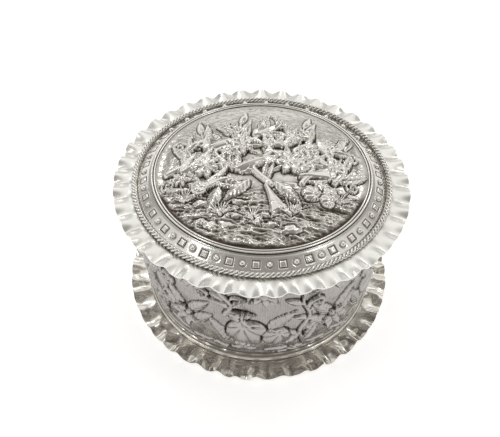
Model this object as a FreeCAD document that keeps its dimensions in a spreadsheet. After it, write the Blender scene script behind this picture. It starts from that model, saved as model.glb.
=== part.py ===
import FreeCAD
import Part
import Sketcher

import math
import os
import re

# Round silver box with a lift-off lid. Millimetres and degrees, +Z up, origin under the middle of the base.

SIZES = {
    # shared
    "solder_gap": 0.05,  # left between curved pieces that are soldered together
    # body wall
    "wall_radius": 42.6,  # outside of the wall
    "wall_sheet": 0.6,
    "seat_height": 50.0,  # top of the wall, where the lid sits
    # forms raised on the wall
    "wall_form_sink": 0.3,  # how deep they are rooted in the wall
    "melon_radius": 6.6,
    "melon_rise": 1.5,
    "apple_radius": 5.0,
    "apple_rise": 1.3,
    "rosette_radius": 5.0,
    "rosette_rise": 0.9,
    "blade_length": 12.0,
    "blade_width": 4.8,
    "blade_rise": 0.6,
    # base plate
    "base_sheet": 0.8,
    "base_margin": 0.3,  # how far the base plate stops inside the foot moulding
    # crimped frill round the base
    "base_frill_sheet": 0.6,
    "base_frill_width": 6.9,  # from the foot moulding to the wavy edge
    "base_frill_rise": 0.6,
    "base_frill_wave": 1.2,  # half the height from trough to crest
    "base_frill_waves": 40,
    # half-round and cove between the base frill and the wall
    "foot_width": 1.45,
    "foot_bead": 1.9,
    "foot_cove": 1.7,
    "foot_lip": 0.12,  # thin upper edge of the cove
    # square wire that stiffens the mouth
    "mouth_wire_width": 1.0,
    "mouth_wire_height": 1.2,
    # collar that guides the lid in the mouth
    "collar_clearance": 0.3,
    "collar_sheet": 0.6,
    "collar_depth": 7.0,
    # twisted wire on the lid
    "rope_offset": 1.4,  # middle of the wire, outside the wall
    "rope_wire": 1.8,
    # crimped frill round the lid
    "lid_frill_sheet": 0.6,
    "lid_frill_width": 6.1,  # from the twisted wire to the wavy edge
    "lid_frill_droop": 0.1,
    "lid_frill_wave": 1.2,
    "lid_frill_waves": 40,
    # sloping band with beads and squares in turn
    "band_sheet": 0.6,
    "band_run": 5.05,
    "band_rise": 2.9,
    "bead_radius": 1.0,
    "square_side": 2.6,
    "square_height": 0.5,
    "square_taper": 28.0,
    "stud_sink": 0.2,  # foot of a bead or square below the band's face
    "stud_pairs": 31,
    "stud_turn": 6.2,  # degrees from the x axis to the first bead
    # moulding of two ridges round the medallion
    "moulding_bar": 0.6,
    "outer_ridge": 0.95,
    "inner_ridge": 0.85,
    # domed medallion
    "dome_sheet": 0.6,
    "dome_rise": 4.7,
    # forms raised on the medallion
    "dome_form_sink": 0.3,  # how deep their edges are rooted in the dome
    "vine_width": 2.6,
    "vine_rise": 1.4,
    "rose_radius": 5.2,
    "rose_rise": 1.9,
    "trumpet_length": 13.0,
    "trumpet_width": 6.4,
    "trumpet_rise": 1.8,
    "leaf_length": 12.0,
    "leaf_width": 5.6,
    "leaf_rise": 1.3,
    "fruit_radius": 3.2,
    "fruit_rise": 1.7,
    "bush_radius": 4.4,
    "bush_rise": 0.8,
}

# Places that several pieces share, each worked out from the sizes above.
FRILL_FLOOR = "base_sheet"
FOOT_FLOOR = "(base_sheet + base_frill_sheet)"
AROUND_WALL = "(wall_radius + solder_gap)"
FOOT_RADIUS = "(wall_radius + solder_gap + foot_width)"
COLLAR_RADIUS = "(wall_radius - wall_sheet - collar_clearance)"
LID_HOLE = "(wall_radius - wall_sheet - collar_clearance - collar_sheet)"
LID_FLOOR = "(seat_height + lid_frill_sheet)"
ROPE_RADIUS = "(wall_radius + rope_offset)"
BAND_FOOT = "(wall_radius + rope_offset - rope_wire / 2 - solder_gap)"
BAND_TOP = "(seat_height + lid_frill_sheet + band_rise)"
BAND_THROUGH = "(band_sheet * sqrt(band_run ^ 2 + band_rise ^ 2) / band_rise)"
BAND_SLOPE = "atan(band_rise / band_run)"
MOULDING_RADIUS = f"({BAND_FOOT} - band_run)"
RIDGE_VALLEY = f"({MOULDING_RADIUS} - outer_ridge)"
DOME_RADIUS = f"({RIDGE_VALLEY} - inner_ridge)"
DOME_BALL = f"(({DOME_RADIUS} ^ 2 + dome_rise ^ 2) / (2 * dome_rise))"

POINTS_PER_WAVE = 8

# Raised forms on the lid, at shares of the dome's radius.
# Vines go from end to end; the other forms have a middle, and a turn in degrees.
VINE_SHARES = [
    (-0.86, -0.13, -0.68, -0.02), (-0.67, 0.03, -0.72, 0.17), (-0.7, 0.21, -0.51, 0.32),
    (-0.34, -0.08, -0.43, 0.08), (-0.25, 0.36, -0.29, 0.51),
    (0.05, -0.27, -0.09, -0.12), (0.08, 0.13, -0.04, 0.28), (-0.04, 0.33, 0.05, 0.49),
    (0.39, -0.26, 0.47, -0.1), (0.61, 0.13, 0.76, 0.24),
]
ROSE_SHARES = [(-0.53, -0.11), (0.26, -0.06), (-0.19, 0.18), (0.65, -0.1), (0.3, 0.33)]
FRUIT_SHARES = [(0.57, -0.48), (-0.75, -0.22)]
BUSH_SHARES = [(-0.46, 0.52), (0.0, 0.69), (0.28, 0.62), (0.58, 0.47)]
TRUMPET_SHARES = [(-0.47, -0.31, 20), (0.07, -0.5, 112)]
LEAF_SHARES = [(-0.23, -0.39, 43), (0.3, -0.41, 141), (0.66, -0.34, 158), (-0.48, -0.55, 72)]

# Raised forms on the wall, at shares of one of its equal parts and of its height, with a turn in degrees.
WALL_PARTS = 5
MELON_SHARES = [(0.666, 0.36)]
APPLE_SHARES = [(0.853, 0.33)]
ROSETTE_SHARES = [(0.25, 0.37)]
BLADE_SHARES = [(0.349, 0.38, 33), (0.149, 0.37, 147), (0.62, 0.5, 128), (0.88, 0.5, 52), (0.489, 0.353, 109)]

doc = FreeCAD.newDocument("SilverBox")
sheet = doc.addObject("Spreadsheet::Sheet", "Sizes")
for row, (size_name, size_value) in enumerate(SIZES.items(), start=1):
    sheet.set(f"A{row}", size_name)
    sheet.set(f"B{row}", str(size_value))
    sheet.setAlias(f"B{row}", size_name)
doc.recompute()


def in_cells(formula):
    """The formula with each size pointing at its cell of the sheet."""
    return re.sub(r"[a-z_]+", lambda word: f"Sizes.{word[0]}" if word[0] in SIZES else word[0], formula)


def value(formula):
    """What a formula of sizes comes to now."""
    return float(sheet.evalExpression(in_cells(formula)))


def bind(thing, **formulas):
    """Ties properties of an object to formulas of sizes."""
    for name, formula in formulas.items():
        thing.setExpression(name, in_cells(formula))


def origin_feature(body, role):
    """One of a body's own planes or axes."""
    return next(feature for feature in body.Origin.OriginFeatures if feature.Role == role)


def sketch_on(body, name, role):
    """An empty sketch on one of a body's own planes."""
    sketch = body.newObject("Sketcher::SketchObject", name)
    sketch.AttachmentSupport = [(origin_feature(body, role), "")]
    sketch.MapMode = "FlatFace"
    return sketch


def place_point(sketch, edge, end, formulas):
    """Dimensions an edge's point from the sketch's origin: x, then y, with None for one that is left free."""
    for kind, axis, formula in zip(("DistanceX", "DistanceY"), (-2, -1), formulas):
        if formula is None:
            continue
        if formula == "0":
            sketch.addConstraint(Sketcher.Constraint("PointOnObject", edge, end, axis))
            continue
        index = sketch.addConstraint(Sketcher.Constraint(kind, -1, 1, edge, end, value(formula)))
        sketch.setExpression(f"Constraints[{index}]", in_cells(formula))


def arc_centre(start, end, known):
    """The middle of an arc between two points, from its x or its y."""
    middle = (start + end) / 2
    chord = end - start
    if known[0] is not None:
        across = value(known[0])
        return FreeCAD.Vector(across, middle.y - (across - middle.x) * chord.x / chord.y, 0)
    up = value(known[1])
    return FreeCAD.Vector(middle.x - (up - middle.y) * chord.y / chord.x, up, 0)


def arc_edge(start, end, centre, way):
    """An arc from start to end: way is 1 for anticlockwise and -1 for clockwise."""
    first, last = (start, end) if way == 1 else (end, start)
    circle = Part.Circle(centre, FreeCAD.Vector(0, 0, 1), (start - centre).Length)
    angles = [math.atan2(point.y - centre.y, point.x - centre.x) for point in (first, last)]
    if angles[1] <= angles[0]:
        angles[1] += 2 * math.pi
    return Part.ArcOfCircle(circle, *angles)


def draw_outline(sketch, corners, arcs):
    """A closed outline through corners given as (x, y) formulas.

    arcs maps a corner's number to the centre and the way of the arc that leaves it; other edges are straight.
    """
    points = [FreeCAD.Vector(value(across), value(up), 0) for across, up in corners]
    ends = []
    for number, start in enumerate(points):
        end = points[(number + 1) % len(points)]
        if number in arcs:
            known, way = arcs[number]
            edge = sketch.addGeometry(arc_edge(start, end, arc_centre(start, end, known), way))
            ends.append((edge, 1, 2) if way == 1 else (edge, 2, 1))
        else:
            edge = sketch.addGeometry(Part.LineSegment(start, end))
            ends.append((edge, 1, 2))
    for number, (edge, first, last) in enumerate(ends):
        next_edge, next_first, next_last = ends[(number + 1) % len(ends)]
        sketch.addConstraint(Sketcher.Constraint("Coincident", edge, last, next_edge, next_first))
    for number, (edge, first, last) in enumerate(ends):
        place_point(sketch, edge, first, corners[number])
        if number in arcs:
            place_point(sketch, edge, 3, arcs[number][0])


def turned(label, corners, arcs=None):
    """A body turned about Z, from the corners of its section as (radius, height) formulas."""
    body = doc.addObject("PartDesign::Body", label)
    body.Label = label
    sketch = sketch_on(body, f"{label}_section", "XZ_Plane")
    draw_outline(sketch, corners, arcs or {})
    turn = body.newObject("PartDesign::Revolution", f"{label}_turn")
    turn.Profile = sketch
    turn.ReferenceAxis = (sketch, ["V_Axis"])
    turn.Angle = 360
    doc.recompute()
    return body


def ring(label, inner, outer, low, high):
    """A turned ring of square section."""
    return turned(label, [(inner, low), (outer, low), (outer, high), (inner, high)])


def wavy_edge(radius, height, swing, waves):
    """A closed curve round Z that rises and falls a number of times."""
    count = POINTS_PER_WAVE * waves
    points = []
    for step in range(count):
        angle = 2 * math.pi * step / count
        lift = height + swing * math.cos(waves * angle)
        points.append(FreeCAD.Vector(radius * math.cos(angle), radius * math.sin(angle), lift))
    curve = Part.BSplineCurve()
    curve.interpolate(points, PeriodicFlag=True)
    return curve.toShape()


def crimped_frill(label, hole, flat, edge, floor, thickness, rise, wave, waves):
    """A flat ring whose outer part is crimped: level from hole to flat, then fluted out to its wavy edge."""
    bottom = value(floor)
    top = bottom + value(thickness)
    count = round(value(waves))
    hole_edges = [wavy_edge(value(hole), height, 0, count) for height in (bottom, top)]
    flat_edges = [wavy_edge(value(flat), height, 0, count) for height in (bottom, top)]
    lift = value(rise)
    wave_edges = [wavy_edge(value(edge), height + lift, value(wave), count) for height in (bottom, top)]
    faces = [Part.makeRuledSurface(*hole_edges), Part.makeRuledSurface(*wave_edges)]
    for hole_edge, flat_edge, wave_edge in zip(hole_edges, flat_edges, wave_edges):
        level = Part.Face([Part.Wire([flat_edge]), Part.Wire([hole_edge])])
        level.validate()
        faces += [level, Part.makeRuledSurface(flat_edge, wave_edge)]
    shell = Part.makeShell(faces)
    shell.sewShape()
    solid = Part.makeSolid(shell)
    if solid.Volume < 0:
        solid.reverse()
    frill = doc.addObject("Part::Feature", label)
    frill.Label = label
    frill.Shape = solid
    frill.Placement = FreeCAD.Placement()
    return frill


def half_ball(length, width, rise, face, sink):
    """Half a ball drawn out to formulas of length, width and rise, with its ends sunk in a round face."""
    half, face_radius = value(f"{length} / 2"), value(face)
    depth = face_radius - math.sqrt(face_radius ** 2 - half ** 2) + value(sink)
    ball = Part.makeSphere(1, FreeCAD.Vector(), FreeCAD.Vector(0, 0, 1), 0, 90, 360)
    drawn_out = FreeCAD.Matrix()
    drawn_out.scale(half, value(f"{width} / 2"), value(rise) + depth)
    drawn_out.move(0, 0, -depth)
    return ball.transformGeometry(drawn_out)


def cap(radius, rise, face, sink):
    """The top of a ball, from formulas of radius and rise, with its edge sunk in a round face."""
    height, face_radius = value(rise), value(face)
    ball_radius = (value(radius) ** 2 + height ** 2) / (2 * height)
    apart = face_radius + height - ball_radius
    depth = face_radius - (face_radius ** 2 - ball_radius ** 2 + apart ** 2) / (2 * apart) + value(sink)
    back = math.degrees(math.asin((ball_radius - height - depth) / ball_radius))
    centre = FreeCAD.Vector(0, 0, height - ball_radius)
    return Part.makeSphere(ball_radius, centre, FreeCAD.Vector(0, 0, 1), back, 90, 360)


def set_on(form, point, outwards, along, turn):
    """A copy of the form on a point of a face, with its rise outwards and its length turned from along."""
    upright = FreeCAD.Rotation(along, outwards.cross(along), outwards, "ZXY")
    spin = FreeCAD.Rotation(FreeCAD.Vector(0, 0, 1), turn)
    placed = form.copy()
    placed.Placement = FreeCAD.Placement(point, upright.multiply(spin)).multiply(form.Placement)
    return placed


def with_forms(label, plain, forms):
    """A plain body joined with the forms raised on it."""
    joined = doc.addObject("Part::Feature", label)
    joined.Label = label
    joined.Shape = plain.Shape.multiFuse(forms)
    return joined


def on_wall(form, around_share, height_share, turn=0):
    """A form set on each equal part of the wall, with its back cut round inside the sheet."""
    low = value("base_sheet")
    height = FreeCAD.Vector(0, 0, low + (value("seat_height") - low) * height_share)
    core = Part.makeCylinder(value("wall_radius - wall_form_sink"), value("seat_height"))
    placed = []
    for part in range(WALL_PARTS):
        angle = 2 * math.pi * (part + around_share) / WALL_PARTS
        outwards = FreeCAD.Vector(math.cos(angle), math.sin(angle), 0)
        level = FreeCAD.Vector(0, 0, 1).cross(outwards)
        placed.append(set_on(form, outwards * value("wall_radius") + height, outwards, level, turn).cut(core))
    return placed


def wall_forms():
    """The forms raised on the wall: melons, apples, rosettes and long leaves."""
    face = ("wall_radius", "wall_form_sink")
    kinds = [
        (cap("melon_radius", "melon_rise", *face), MELON_SHARES),
        (cap("apple_radius", "apple_rise", *face), APPLE_SHARES),
        (cap("rosette_radius", "rosette_rise", *face), ROSETTE_SHARES),
        (half_ball("blade_length", "blade_width", "blade_rise", *face), BLADE_SHARES),
    ]
    forms = []
    for form, places in kinds:
        for shares in places:
            forms += on_wall(form, *shares)
    return forms


def body_wall():
    plain = ring("plain_wall", "(wall_radius - wall_sheet)", "wall_radius", "base_sheet", "seat_height")
    return with_forms("body_wall", plain, wall_forms())


def base_plate():
    plate = doc.addObject("Part::Cylinder", "base_plate")
    plate.Label = "base_plate"
    bind(plate, Radius=f"{FOOT_RADIUS} - base_margin", Height="base_sheet")
    return plate


def base_frill():
    edge = f"{FOOT_RADIUS} + base_frill_width"
    return crimped_frill("base_frill", AROUND_WALL, FOOT_RADIUS, edge, FRILL_FLOOR, "base_frill_sheet",
                         "base_frill_rise", "base_frill_wave", "base_frill_waves")


def foot_moulding():
    bead_back = f"({FOOT_RADIUS} - foot_bead / 2)"
    bead_top = f"({FOOT_FLOOR} + foot_bead)"
    cove_top = f"({bead_top} + foot_cove)"
    corners = [
        (AROUND_WALL, FOOT_FLOOR),
        (bead_back, FOOT_FLOOR),
        (bead_back, bead_top),
        (f"{AROUND_WALL} + foot_lip", cove_top),
        (AROUND_WALL, cove_top),
    ]
    arcs = {
        1: ((bead_back, None), 1),
        2: ((None, cove_top), -1),
    }
    return turned("foot_moulding", corners, arcs)


def mouth_wire():
    outer = f"({AROUND_WALL} + mouth_wire_width)"
    return ring("mouth_wire", AROUND_WALL, outer, "(seat_height - mouth_wire_height)", "seat_height")


def lid_collar():
    return ring("lid_collar", LID_HOLE, COLLAR_RADIUS, "(seat_height - collar_depth)", "seat_height")


def lid_frill():
    rope_side = f"({ROPE_RADIUS} + rope_wire / 2)"
    edge = f"{rope_side} + lid_frill_width"
    return crimped_frill("lid_frill", LID_HOLE, rope_side, edge, "seat_height", "lid_frill_sheet",
                         "-lid_frill_droop", "lid_frill_wave", "lid_frill_waves")


def lid_rope():
    rope = doc.addObject("Part::Torus", "lid_rope")
    rope.Label = "lid_rope"
    bind(rope, Radius1=ROPE_RADIUS, Radius2="rope_wire / 2")
    rope.setExpression("Placement.Base.z", in_cells(f"{LID_FLOOR} + rope_wire / 2"))
    return rope


def stud_place(turn):
    """A formula for the place of a stud on the band's face, turned about Z and square to the slope."""
    reach = f"({BAND_FOOT} - band_run / 2 - stud_sink * sin({BAND_SLOPE}))"
    height = f"({LID_FLOOR} + band_rise / 2 - stud_sink * cos({BAND_SLOPE}))"
    point = f"vector({reach} * cos({turn}); {reach} * sin({turn}); {height})"
    return f"placement({point}; rotation({turn}; {BAND_SLOPE}; 0))"


def lid_border_band():
    corners = [
        (f"{BAND_FOOT} - {BAND_THROUGH}", LID_FLOOR),
        (BAND_FOOT, LID_FLOOR),
        (MOULDING_RADIUS, BAND_TOP),
        (f"{MOULDING_RADIUS} - {BAND_THROUGH}", BAND_TOP),
    ]
    body = turned("lid_border_band", corners)

    bead = body.newObject("PartDesign::AdditiveSphere", "band_bead")
    bead.AttachmentSupport = [(origin_feature(body, "XY_Plane"), "")]
    bead.MapMode = "FlatFace"
    bead.Angle1 = 0
    bind(bead, Radius="bead_radius", AttachmentOffset=stud_place("stud_turn"))
    doc.recompute()

    sketch = sketch_on(body, "band_square_outline", "XY_Plane")
    bind(sketch, AttachmentOffset=stud_place("(stud_turn + 180 / stud_pairs)"))
    half = value("square_side / 2")
    turns = ((-1, -1), (1, -1), (1, 1), (-1, 1))
    square = [FreeCAD.Vector(across * half, up * half, 0) for across, up in turns]
    for number, start in enumerate(square):
        sketch.addGeometry(Part.LineSegment(start, square[(number + 1) % len(square)]))
    for number in range(len(square)):
        sketch.addConstraint(Sketcher.Constraint("Coincident", number, 2, (number + 1) % len(square), 1))
        sketch.addConstraint(Sketcher.Constraint("Horizontal" if number % 2 == 0 else "Vertical", number))
    sketch.addConstraint(Sketcher.Constraint("Symmetric", 0, 1, 1, 2, -1, 1))
    for kind, number in (("DistanceX", 0), ("DistanceY", 1)):
        index = sketch.addConstraint(Sketcher.Constraint(kind, number, 1, number, 2, 2 * half))
        sketch.setExpression(f"Constraints[{index}]", in_cells("square_side"))
    square_stud = body.newObject("PartDesign::Pad", "band_square")
    square_stud.Profile = sketch
    bind(square_stud, Length="square_height + stud_sink", TaperAngle="-square_taper")
    doc.recompute()

    studs = body.newObject("PartDesign::PolarPattern", "band_studs")
    studs.Originals = [bead, square_stud]
    studs.Axis = (origin_feature(body, "Z_Axis"), [""])
    studs.Angle = 360
    bind(studs, Occurrences="stud_pairs")
    body.Tip = studs
    doc.recompute()
    return body


def lid_moulding():
    bar_top = f"({BAND_TOP} + moulding_bar)"
    corners = [
        (DOME_RADIUS, BAND_TOP),
        (MOULDING_RADIUS, BAND_TOP),
        (MOULDING_RADIUS, bar_top),
        (RIDGE_VALLEY, bar_top),
        (DOME_RADIUS, bar_top),
    ]
    arcs = {
        2: ((None, bar_top), 1),
        3: ((None, bar_top), 1),
    }
    return turned("lid_moulding", corners, arcs)


def on_dome(form, across_share, along_share, turn=0):
    """A form set on the dome's face, its length turned from the x axis."""
    ball_radius = value(DOME_BALL)
    centre = FreeCAD.Vector(0, 0, value(f"{BAND_TOP} + dome_rise") - ball_radius)
    across, along = value(DOME_RADIUS) * across_share, value(DOME_RADIUS) * along_share
    height = math.sqrt(ball_radius ** 2 - across ** 2 - along ** 2)
    outwards = FreeCAD.Vector(across, along, height).normalize()
    level = FreeCAD.Vector(0, 1, 0).cross(outwards).normalize()
    return set_on(form, centre + outwards * ball_radius, outwards, level, turn)


def dome_forms():
    """The forms raised on the medallion: vines in straight lengths, and what grows among them."""
    face = (DOME_BALL, "dome_form_sink")
    forms = []
    for start_x, start_y, end_x, end_y in VINE_SHARES:
        length = f"{math.hypot(end_x - start_x, end_y - start_y)} * {DOME_RADIUS}"
        turn = math.degrees(math.atan2(end_y - start_y, end_x - start_x))
        vine = half_ball(length, "vine_width", "vine_rise", *face)
        forms.append(on_dome(vine, (start_x + end_x) / 2, (start_y + end_y) / 2, turn))
    kinds = [
        (cap("rose_radius", "rose_rise", *face), ROSE_SHARES),
        (cap("fruit_radius", "fruit_rise", *face), FRUIT_SHARES),
        (cap("bush_radius", "bush_rise", *face), BUSH_SHARES),
        (half_ball("trumpet_length", "trumpet_width", "trumpet_rise", *face), TRUMPET_SHARES),
        (half_ball("leaf_length", "leaf_width", "leaf_rise", *face), LEAF_SHARES),
    ]
    for form, places in kinds:
        forms += [on_dome(form, *shares) for shares in places]
    return forms


def lid_medallion():
    flange = f"({MOULDING_RADIUS} - {BAND_THROUGH} - solder_gap)"
    flange_floor = f"({BAND_TOP} - dome_sheet)"
    crown = f"({BAND_TOP} + dome_rise)"
    corners = [
        (flange, flange_floor),
        (flange, BAND_TOP),
        (DOME_RADIUS, BAND_TOP),
        ("0", crown),
        ("0", f"{crown} - dome_sheet"),
        (DOME_RADIUS, flange_floor),
    ]
    arcs = {
        2: (("0", None), 1),
        4: (("0", None), -1),
    }
    plain = turned("plain_medallion", corners, arcs)
    return with_forms("lid_medallion", plain, dome_forms())


nodes = [
    base_plate(),
    base_frill(),
    foot_moulding(),
    body_wall(),
    mouth_wire(),
    lid_collar(),
    lid_frill(),
    lid_rope(),
    lid_border_band(),
    lid_moulding(),
    lid_medallion(),
]
doc.recompute()

for thing in doc.Objects:
    if "Invalid" in thing.State or "Error" in thing.State:
        raise RuntimeError(f"{thing.Label} failed: {thing.State}")
for node in nodes:
    if node.Shape.isNull() or not node.Shape.isValid():
        raise RuntimeError(f"{node.Label} has no valid shape")

os.makedirs("parts", exist_ok=True)
for node in nodes:
    node.Shape.exportStep(f"parts/{node.Label}.step")
    box = node.Shape.BoundBox
    print(f"{node.Label}: {len(node.Shape.Solids)} solid, {node.Shape.Volume:.1f} mm3, "
          f"r {box.XMax:.2f}, z {box.ZMin:.2f} to {box.ZMax:.2f}")
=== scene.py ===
import math

import bpy
import numpy as np
from mathutils import Matrix, Vector


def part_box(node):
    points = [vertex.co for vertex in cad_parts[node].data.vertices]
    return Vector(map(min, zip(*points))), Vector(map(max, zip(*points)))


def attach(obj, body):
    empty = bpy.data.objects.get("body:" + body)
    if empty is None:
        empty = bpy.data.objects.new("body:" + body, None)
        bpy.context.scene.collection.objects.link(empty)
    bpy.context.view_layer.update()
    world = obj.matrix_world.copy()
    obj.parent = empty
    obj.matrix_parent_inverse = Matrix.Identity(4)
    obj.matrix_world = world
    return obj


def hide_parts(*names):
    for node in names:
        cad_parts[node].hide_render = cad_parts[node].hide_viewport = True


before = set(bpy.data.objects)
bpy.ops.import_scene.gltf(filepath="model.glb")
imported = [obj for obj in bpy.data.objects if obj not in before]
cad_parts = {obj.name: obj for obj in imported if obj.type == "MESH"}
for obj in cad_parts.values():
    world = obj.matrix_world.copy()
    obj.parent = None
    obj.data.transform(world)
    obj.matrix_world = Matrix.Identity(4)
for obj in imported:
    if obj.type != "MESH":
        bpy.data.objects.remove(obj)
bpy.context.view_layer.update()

mm = 0.001  # settings below are in millimetres
turn = 2 * math.pi


# sizes read from the frame

def reach(node):
    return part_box(node)[1][0] / mm  # outer radius


def floorOf(node):
    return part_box(node)[0][2] / mm


def topOf(node):
    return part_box(node)[1][2] / mm


# shader maths

class Wire:
    # a socket that can stand in a sum: each sign adds a Math node
    def __init__(self, tree, socket=None):
        self.tree = tree
        self.socket = socket

    def node(self, kind, settings=None, values=None, out=0):
        new = self.tree.nodes.new(kind)
        for name, setting in (settings or {}).items():
            if name == "stops":
                for stop, (place, shade) in zip(new.color_ramp.elements, setting):
                    stop.position = place
                    stop.color = (shade, shade, shade, 1)
            else:
                setattr(new, name, setting)
        for name, value in (values or {}).items():
            if isinstance(value, Wire):
                self.tree.links.new(value.socket, new.inputs[name])
            else:
                new.inputs[name].default_value = value
        return Wire(self.tree, new.outputs[out])

    def maths(self, operation, *terms):
        return self.node("ShaderNodeMath", {"operation": operation}, dict(enumerate(terms)))

    def __add__(self, other):
        return self.maths("ADD", self, other)

    def __radd__(self, other):
        return self.maths("ADD", other, self)

    def __sub__(self, other):
        return self.maths("SUBTRACT", self, other)

    def __rsub__(self, other):
        return self.maths("SUBTRACT", other, self)

    def __mul__(self, other):
        return self.maths("MULTIPLY", self, other)

    def __rmul__(self, other):
        return self.maths("MULTIPLY", other, self)

    def noise(self, scale, detail):
        return self.node("ShaderNodeTexNoise", {}, {"Vector": self, "Scale": scale, "Detail": detail})

    def painted(self, name):
        # a value kept at the points of the mesh
        return self.node("ShaderNodeAttribute", {"attribute_name": name}, out=2)

    def clipped(self):
        return self.node("ShaderNodeClamp", {}, {"Value": self})

    def between(self, first, second):
        # mixes two colours by this value
        return self.node("ShaderNodeMix", {"data_type": "RGBA"}, {0: self, 6: first, 7: second}, out=2)


def rgb(red, green, blue):
    return (red, green, blue, 1)


def silverFinish(name, look):
    material = bpy.data.materials.new(name)
    material.use_nodes = True
    tree = material.node_tree
    tree.nodes.clear()
    start = Wire(tree)
    place = start.node("ShaderNodeTexCoord", out=3)  # Object coordinates
    cloud = place.noise(look["cloudScale"], 4.0)
    fine = place.noise(look["grainScale"], 3.0)
    drawnOut = start.node("ShaderNodeMapping", {}, {"Vector": place, "Rotation": (0.3, 0.2, 0.7),
                                                    "Scale": look["scratchScale"]})
    rubbed = drawnOut.noise(1.0, 2.0)
    scratch = start.node("ShaderNodeValToRGB", {"stops": ((0.56, 0.0), (0.64, 1.0))}, {"Fac": rubbed})
    hammer = place.noise(look["hammerScale"], 1.0)
    height = fine * look["grain"] + scratch * look["scratchDeep"] + hammer * look["hammer"]
    # the painted attribute darkens towards the recess colour: patina in the hollows, and painted shade in
    # creases, grooves and on down-facing slopes
    wornAndShaded = start.painted("tarnishAndShade")
    if "stipple" in look:
        punched = start.node("ShaderNodeTexVoronoi", {}, {"Vector": place, "Scale": look["stipple"]})
        height = height + punched * start.painted("bare") * look["stippleDeep"]
    if "hatch" in look:
        marks = hatching(start, place, look["hatch"])
        height = height + marks * look["hatch"]["deep"]
        wornAndShaded = wornAndShaded + marks * look["hatch"]["dark"]
    film = (look["film"] + (cloud - 0.5) * look["filmPatches"] + wornAndShaded * 0.6).clipped()
    dark = (wornAndShaded * 1.25 - 0.2 + (fine - 0.5) * 0.3).clipped()
    colour = dark.between(film.between(rgb(*look["clean"]), rgb(*look["dull"])), rgb(*look["recess"]))
    rough = look["rough"] + film * look["filmRough"] + dark * 0.25 + scratch * look["scratchRough"]
    bump = start.node("ShaderNodeBump", {}, {"Strength": 1.0, "Distance": mm, "Height": height})
    shader = start.node("ShaderNodeBsdfPrincipled", {}, {
        "Base Color": colour, "Metallic": 1.0, "Roughness": rough.clipped(), "Normal": bump})
    output = tree.nodes.new("ShaderNodeOutputMaterial")
    tree.links.new(shader.socket, output.inputs["Surface"])
    return material


def hatching(start, place, hatch):
    # fine upright tool marks on the ground of the wall
    across = start.node("ShaderNodeSeparateXYZ", {}, {"Vector": place})
    depth = Wire(start.tree, across.socket.node.outputs[1])
    height = Wire(start.tree, across.socket.node.outputs[2])
    angle = across.maths("ARCTAN2", depth, across)
    unrolled = start.node("ShaderNodeCombineXYZ", {},
                          {0: angle * hatch["count"], 1: height * hatch["run"], 2: 0.0})
    streak = unrolled.noise(1.0, 2.0)
    wave = angle * hatch["lines"] + streak * 9.0
    marks = wave.maths("SINE", wave) * 0.5 + (streak - 0.5) * 2.5
    return marks * (0.35 + start.painted("bare") * 0.65)


print("materials")
frillLook = {"clean": (0.85, 0.841, 0.808), "dull": (0.69, 0.675, 0.63), "recess": (0.10, 0.09, 0.075),
             "film": 0.45, "filmPatches": 0.8, "rough": 0.22, "filmRough": 0.12, "cloudScale": 110.0,
             "grainScale": 900.0, "grain": 0.004, "hammerScale": 240.0, "hammer": 0.06,
             "scratchScale": (300.0, 2600.0, 2600.0), "scratchRough": 0.05, "scratchDeep": 0.002}
ropeLook = dict(frillLook, clean=(0.87, 0.856, 0.818), dull=(0.60, 0.58, 0.53), recess=(0.05, 0.045, 0.037),
                film=0.05, rough=0.12, filmRough=0.1, hammer=0.03)
baseFrillLook = dict(frillLook, clean=(0.84, 0.813, 0.765), dull=(0.57, 0.538, 0.484),
                     film=0.25, rough=0.12, hammer=0.11)
footLook = dict(baseFrillLook, clean=(0.86, 0.835, 0.785), dull=(0.60, 0.57, 0.52),
                film=0.3, rough=0.15, grain=0.03)
reliefLook = dict(frillLook, clean=(0.735, 0.718, 0.675), dull=(0.46, 0.428, 0.372),
                  recess=(0.065, 0.05, 0.038), film=0.15, rough=0.07, filmRough=0.1, grain=0.006,
                  grainScale=1300.0, hammer=0.03, stipple=1100.0, stippleDeep=0.06)
wallLook = dict(frillLook, clean=(0.48, 0.455, 0.435), dull=(0.27, 0.25, 0.236), recess=(0.04, 0.034, 0.03),
                film=0.35, filmPatches=0.5, rough=0.18, filmRough=0.12, grain=0.008,
                hatch={"count": 150.0, "run": 130.0, "lines": 330.0, "deep": 0.025, "dark": 0.2})
bandLook = dict(frillLook, clean=(0.9, 0.878, 0.835), dull=(0.58, 0.553, 0.507), recess=(0.07, 0.06, 0.05),
                film=0.25, rough=0.14, grain=0.012)
insideLook = dict(frillLook, clean=(0.84, 0.825, 0.785), dull=(0.64, 0.61, 0.54), film=0.35, rough=0.22)

frillSilver = silverFinish("frill_silver", frillLook)
baseFrillSilver = silverFinish("base_frill_silver", baseFrillLook)
ropeSilver = silverFinish("rope_silver", ropeLook)
footSilver = silverFinish("foot_silver", footLook)
reliefSilver = silverFinish("relief_silver", reliefLook)
wallSilver = silverFinish("wall_silver", wallLook)
bandSilver = silverFinish("band_silver", bandLook)
insideSilver = silverFinish("inside_silver", insideLook)


# mesh helpers

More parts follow.
